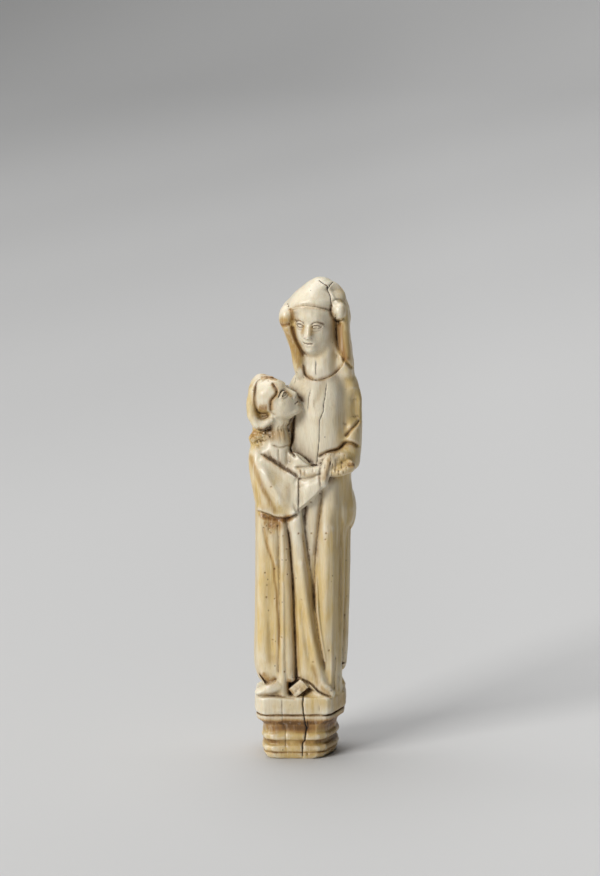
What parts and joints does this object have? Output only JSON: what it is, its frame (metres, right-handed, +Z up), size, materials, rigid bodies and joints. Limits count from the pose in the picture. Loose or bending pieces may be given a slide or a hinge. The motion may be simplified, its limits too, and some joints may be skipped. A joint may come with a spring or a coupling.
{
  "type": "carved figure group",
  "caption": "Small carved ivory group of two standing women embracing, on a moulded base carved with them, which stands on its flat underside.",
  "frame": {"origin": "middle of the block, on the base's underside, where the group stands", "axes": "+Z up along the figures, +Y towards the back of the group, +X towards the taller woman's side, the right of a viewer in front"},
  "size_m": [0.0263, 0.0187, 0.11],
  "materials": {
    "ivory": "old carved ivory, softly polished, cream to honey, brown in the recesses, with dark drying cracks"
  },
  "bodies": {
    "root": {"carved_group": "ivory"}
  },
  "joints": []
}
